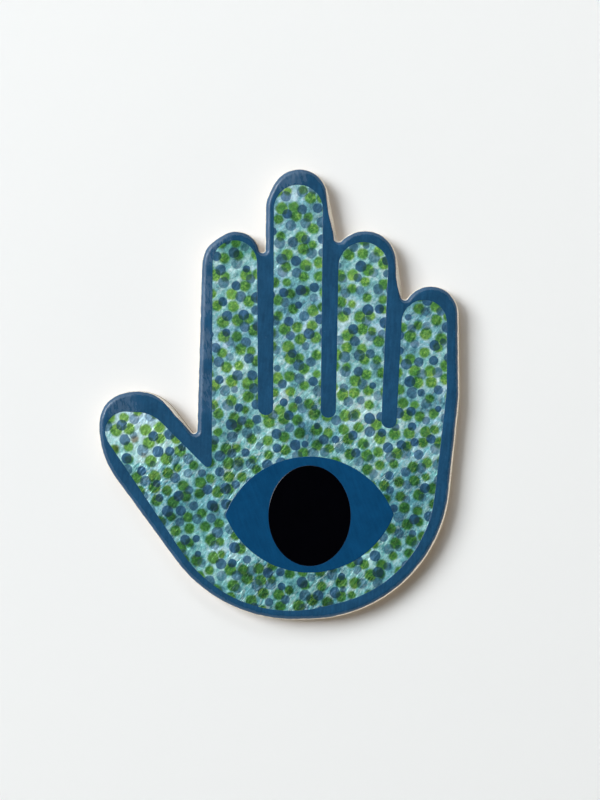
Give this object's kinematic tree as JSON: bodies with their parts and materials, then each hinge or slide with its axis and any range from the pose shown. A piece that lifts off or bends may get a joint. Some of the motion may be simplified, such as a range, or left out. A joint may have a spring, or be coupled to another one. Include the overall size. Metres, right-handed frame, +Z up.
{
  "type": "hamsa hand ornament",
  "caption": "Flat hand-shaped wall ornament: round-edged board with a crinkled silvery leaf, dark enamel border and finger bars, a painted eye in the palm, and a flush keyhole hanger.",
  "frame": {"origin": "middle of the keyhole plate's round entry, in the plane of the board's back", "axes": "+Z up along the fingers, +X to the right seen from the front, +Y out of the back towards the wall; the decorated front faces -Y"},
  "size_m": [0.208, 0.011, 0.2599],
  "materials": {
    "board": "matte",
    "leaf": "satin",
    "border": "gloss",
    "eye": "gloss",
    "pupil": "gloss",
    "plate": "satin",
    "screws": "satin",
    "pads": "matte"
  },
  "bodies": {
    "root": {"hand_board": "board", "leaf_field": "leaf", "border_enamel": "border", "eye_enamel": "eye", "pupil_enamel": "pupil", "keyhole_plate": "plate", "plate_screws": "screws", "wall_pads": "pads"}
  },
  "joints": []
}
